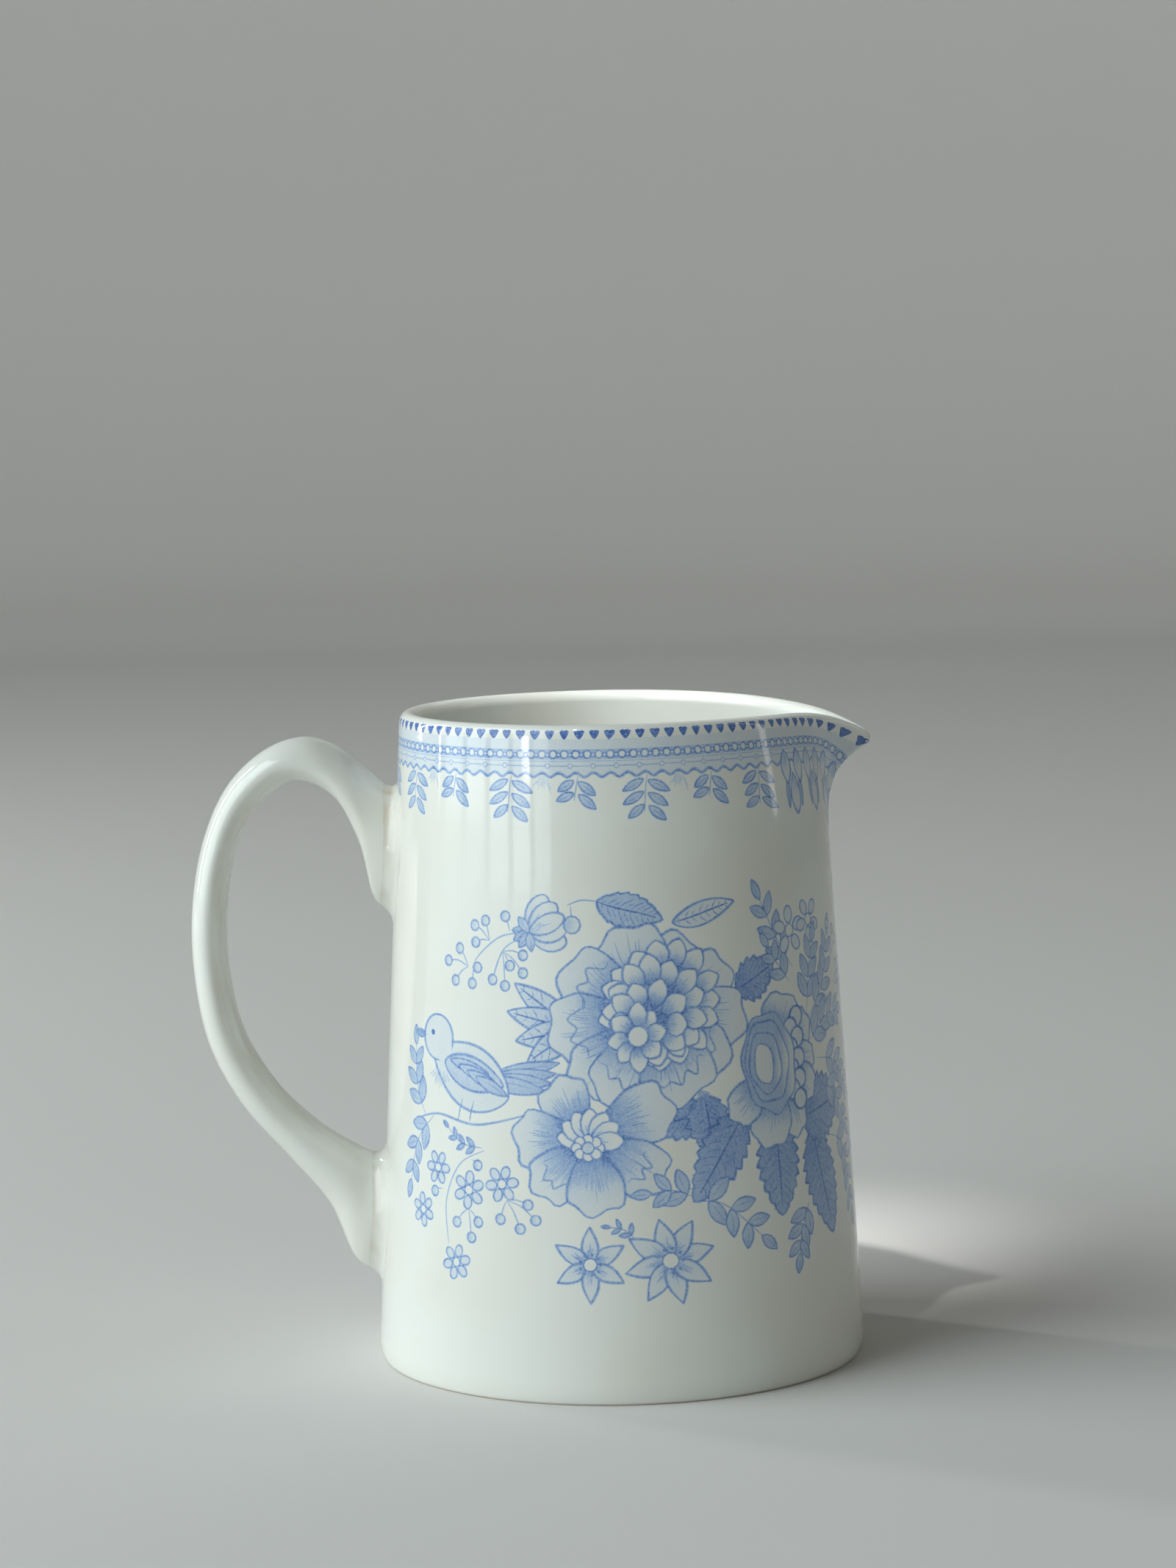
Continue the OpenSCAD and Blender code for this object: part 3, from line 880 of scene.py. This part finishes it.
# The sprays: how far they reach up the wall and round it, and the middle angle of each
SPRAY_R = 35.0
SPRAY_Z = (14.0, 78.0)
SPRAY_EDGES = (-68.0, 92.0)
FRONT = -90.0
BACK = 70.0
# Extra rows of the border film, which keep it clear of the rounded rim
RIM_ROWS = np.arange(-0.75, 0.9, 0.21)


def make_prints(material):
    spray_grid, unit_grid, lip_grid = 2.0, 1.3, 0.6
    low = np.array([math.radians(SPRAY_EDGES[0]) * SPRAY_R, SPRAY_Z[0]])
    high = np.array([math.radians(SPRAY_EDGES[1]) * SPRAY_R, SPRAY_Z[1]])
    spray = ink_faces(flower_spray(), low, high, spray_grid)
    make_print("front_spray_print", "front_spray_transfer", material, [(spray, on_wall, FRONT)])
    make_print("back_spray_print", "back_spray_transfer", material, [(spray, on_wall, BACK)])
    bottom, top = -13.6, 0.95
    half = UNIT / 2
    unit = ink_faces(border_unit(), np.array([-half, bottom]), np.array([half, top]),
                     unit_grid, RIM_ROWS)
    lip = ink_faces(border_lip(), np.array([-3 * half, bottom]), np.array([3 * half, top]),
                    lip_grid, RIM_ROWS)
    parts = [(unit, on_border, 36.0 * k) for k in range(2, 9)]
    make_print("rim_border_print", "rim_border_transfer", material,
               parts + [(lip, on_border, 0.0)])


# ---- Materials ----

GLAZE = (0.75, 0.765, 0.715, 1)
GLAZE_WARM = (0.66, 0.62, 0.50, 1)
# Brown of the specks, and of the streaks on the handle and the slip fillets; the streaks are partly
# stain and partly painted shade
STAIN_AND_SHADE = (0.42, 0.30, 0.17, 1)
BARE_CLAY = (0.55, 0.51, 0.44, 1)
INK_WASH = (0.50, 0.60, 0.70, 1)
INK_MID = (0.20, 0.33, 0.60, 1)
INK_DARK = (0.06, 0.13, 0.38, 1)


def feed(tree, socket, value):
    """Links an output to the socket, or sets the socket to a number or a colour."""
    if isinstance(value, bpy.types.NodeSocket):
        tree.links.new(value, socket)
    else:
        socket.default_value = value


def add(tree, kind, inputs=(), **settings):
    """A new node. inputs maps sockets to numbers, or to outputs that are linked to them."""
    node = tree.nodes.new("ShaderNode" + kind)
    for name, value in settings.items():
        setattr(node, name, value)
    for name, value in dict(inputs).items():
        feed(tree, node.inputs[name], value)
    return node


def mix(tree, factor, a, b):
    """Mixes two colours."""
    node = add(tree, "Mix", data_type="RGBA")
    for index, value in ((0, factor), (6, a), (7, b)):
        feed(tree, node.inputs[index], value)
    return node.outputs[2]


def sums(tree, operation, *values):
    node = add(tree, "Math", operation=operation)
    for socket, value in zip(node.inputs, values):
        feed(tree, socket, value)
    return node.outputs[0]


def ramp(tree, value, low, high):
    """0 below low, 1 above high."""
    return add(tree, "MapRange", {"Value": value, "From Min": low, "From Max": high}).outputs[0]


def times(tree, a, b):
    return sums(tree, "MULTIPLY", a, b)


def noise(tree, place, scale, detail=2.0):
    return add(tree, "TexNoise", {"Vector": place, "Scale": scale, "Detail": detail}).outputs[0]


def glaze_material(name, stain_and_shade=0.0, stain_and_shade_from=-0.1, footed=False, printed=False):
    """Clear gloss glaze over cream-white ware, with specks, a slight ripple and warmer pools."""
    material = bpy.data.materials.new(name)
    material.use_nodes = True
    tree = material.node_tree
    shader = tree.nodes["Principled BSDF"]
    place = add(tree, "TexCoord").outputs["Object"]
    colour = mix(tree, times(tree, ramp(tree, noise(tree, place, 45), 0.45, 0.75), 0.35),
                 GLAZE, GLAZE_WARM)
    if printed:
        ink = add(tree, "Attribute", attribute_name="ink").outputs["Fac"]
        grained = sums(tree, "MULTIPLY_ADD", noise(tree, place, 3200, 1), 0.9, 0.55)
        worn = sums(tree, "MULTIPLY_ADD", noise(tree, place, 420, 2), 0.5, 0.75)
        ink = times(tree, times(tree, ink, grained), worn)
        colour = mix(tree, ramp(tree, ink, 0.0, 0.32), colour, INK_WASH)
        colour = mix(tree, ramp(tree, ink, 0.25, 0.72), colour, INK_MID)
        colour = mix(tree, ramp(tree, ink, 0.7, 1.0), colour, INK_DARK)
    # Brown streaks on faces turned towards the body and over the slip fillets in the creases at the
    # joints: partly stain, partly painted shade where these faces lie in shade
    if stain_and_shade:
        streaks = add(tree, "Mapping", {"Vector": place, "Scale": (0.5, 1.6, 0.3)}).outputs[0]
        spread = ramp(tree, noise(tree, streaks, 300, 6), 0.3, 0.75)
        facing = add(tree, "SeparateXYZ", {"Vector": add(tree, "TexCoord").outputs["Normal"]})
        inner = ramp(tree, facing.outputs["X"], stain_and_shade_from, stain_and_shade_from + 1)
        colour = mix(tree, times(tree, times(tree, spread, inner), stain_and_shade), colour, STAIN_AND_SHADE)
    cells = add(tree, "TexVoronoi", {"Vector": place, "Scale": 190.0})
    rare = add(tree, "SeparateColor", {"Color": cells.outputs["Color"]}).outputs[0]
    speck = times(tree, ramp(tree, cells.outputs["Distance"], 0.05, 0.03),
                  ramp(tree, rare, 0.9, 0.91))
    colour = mix(tree, times(tree, speck, 0.8), colour, STAIN_AND_SHADE)
    shine = add(tree, "MapRange", {"Value": noise(tree, place, 130, 3), "To Min": 0.035,
                                   "To Max": 0.11}).outputs[0]
    if footed:
        height = add(tree, "SeparateXYZ", {"Vector": place}).outputs["Z"]
        bare = ramp(tree, height, 0.0004, 0.0002)
        colour = mix(tree, bare, colour, BARE_CLAY)
        shine = add(tree, "MapRange", {"Value": bare, "To Min": 0.07, "To Max": 0.75}).outputs[0]
    ripple = add(tree, "Bump", {"Height": noise(tree, place, 55, 1), "Strength": 0.5,
                                "Distance": 0.00025})
    peel = add(tree, "Bump", {"Height": noise(tree, place, 750, 2), "Strength": 0.35,
                              "Distance": 0.00001, "Normal": ripple.outputs[0]})
    for socket, value in (("Base Color", colour), ("Roughness", shine),
                          ("Normal", peel.outputs[0])):
        tree.links.new(value, shader.inputs[socket])
    shader.inputs["IOR"].default_value = 1.52
    return material


# ---- Stage, light and camera ----


def make_stage():
    """A pale floor that turns up into a wall all round."""
    flat, bend, top = 1.9, 0.7, 2.4
    profile = [(0.0, 0.0), (flat, 0.0)]
    profile += [(flat + bend * math.sin(t), bend * (1 - math.cos(t)))
                for t in np.radians(np.linspace(6, 90, 15))]
    profile += [(flat + bend, top)]
    count = 96
    points, faces = [(0, 0, 0)], []
    for r, z in profile[1:]:
        points += [(r * math.cos(t), r * math.sin(t), z)
                   for t in np.linspace(0, 2 * math.pi, count, endpoint=False)]
    for j in range(count):
        k = (j + 1) % count
        faces.append((0, 1 + j, 1 + k))
        for i in range(len(profile) - 2):
            low = 1 + i * count
            faces.append((low + j, low + count + j, low + count + k, low + k))
    floor = new_mesh("floor", np.array(points) / MM, faces)
    material = bpy.data.materials.new("pale_floor")
    material.use_nodes = True
    shader = material.node_tree.nodes["Principled BSDF"]
    shader.inputs["Base Color"].default_value = (0.70, 0.685, 0.66, 1)
    shader.inputs["Roughness"].default_value = 0.85
    floor.data.materials.append(material)


def aimed(name, light, place, aim):
    lamp = bpy.data.objects.new(name, light)
    lamp.location = place
    lamp.visible_camera = False
    lamp.rotation_euler = (Vector(aim) - Vector(place)).to_track_quat("-Z", "Y").to_euler()
    bpy.context.scene.collection.objects.link(lamp)


def soft_box(name, place, aim, size, watts, colour=(1, 1, 1)):
    light = bpy.data.lights.new(name, "AREA")
    light.shape = "RECTANGLE"
    light.size, light.size_y = size
    light.energy = watts
    light.color = colour
    aimed(name, light, place, aim)


def round_jug(bearing, away, height):
    """A place round the jug: bearing is in degrees from the front, towards the handle."""
    way = math.radians(bearing)
    return (-away * math.sin(way), -away * math.cos(way), height)


def make_lights():
    jug = (0, 0, 0.05)
    cool, warm = (0.87, 0.97, 1.0), (1.0, 0.96, 0.9)
    # The window at the left, in slices that grow weaker towards the camera
    away, tall = 1.6, 2.0
    slices = ((92, 16, 7.4), (76, 16, 8.4), (61, 14, 8.4), (48, 12, 7.3), (36.5, 11, 4.4))
    for k, (bearing, spread, watts) in enumerate(slices):
        wide = 2 * away * math.tan(math.radians(spread / 2))
        soft_box(f"window_left_{k}", round_jug(bearing, away, 0.9), jug, (wide, tall), watts, cool)
    soft_box("strip_left", round_jug(123, 1.0, 0.4), jug, (0.035, 0.75), 2.0)
    soft_box("strip_edge", round_jug(103, 1.0, 0.4), jug, (0.02, 0.75), 0.55)
    soft_box("strip_right", round_jug(-98, 1.05, 0.5), jug, (0.08, 0.8), 0.4, warm)
    soft_box("glint", round_jug(45, 0.85, 0.104), (0, 0, 0.1), (0.06, 0.014), 0.045)
    soft_box("window_back", (0.5, 1.5, 1.3), jug, (1.0, 0.8), 1.0)
    soft_box("backdrop", (0.0, 1.3, 0.9), (0, 2.6, 1.1), (2.4, 0.5), 4)
    into = bpy.data.lights.new("into_the_jug", "SPOT")
    into.energy = 52
    into.spot_size = math.radians(4.2)
    into.spot_blend = 1.0
    into.shadow_soft_size = 0.03
    aimed("into_the_jug", into, (-0.2, -0.4, 1.0), (0.004, 0.029, 0.088))
    world = bpy.data.worlds.new("studio")
    world.use_nodes = True
    background = world.node_tree.nodes["Background"]
    background.inputs["Color"].default_value = (1.0, 0.99, 0.92, 1)
    background.inputs["Strength"].default_value = 0.04
    bpy.context.scene.world = world


def make_camera():
    """A long lens, a little above the jug and looking slightly down."""
    data = bpy.data.cameras.new("camera")
    data.sensor_fit = "VERTICAL"
    data.sensor_height = 36.0
    data.sensor_width = 36.0
    data.lens = 98.076
    data.clip_start = 0.01
    data.clip_end = 20
    camera = bpy.data.objects.new("camera", data)
    pitch, roll, yaw = 0.1056, -0.0211, 0.0054
    away, height = 0.6485, 0.1564
    camera.matrix_world = (
        Matrix.Translation((0, -away, height)) @ Matrix.Rotation(yaw, 4, "Z")
        @ Matrix.Rotation(math.pi / 2 - pitch, 4, "X") @ Matrix.Rotation(roll, 4, "Z")
    )
    bpy.context.scene.collection.objects.link(camera)
    bpy.context.scene.camera = camera
    bpy.context.scene.view_settings.view_transform = "Standard"


make_camera()
make_stage()
make_lights()
make_body(glaze_material("body_glaze", footed=True))
# The handle's body-facing side and the slip fillets get brown streaks that are partly stain and
# partly painted shade
make_handle(glaze_material("handle_glaze", stain_and_shade=0.4),
            glaze_material("slip_glaze", stain_and_shade=0.7, stain_and_shade_from=-0.9))
make_prints(glaze_material("blue_print", printed=True))
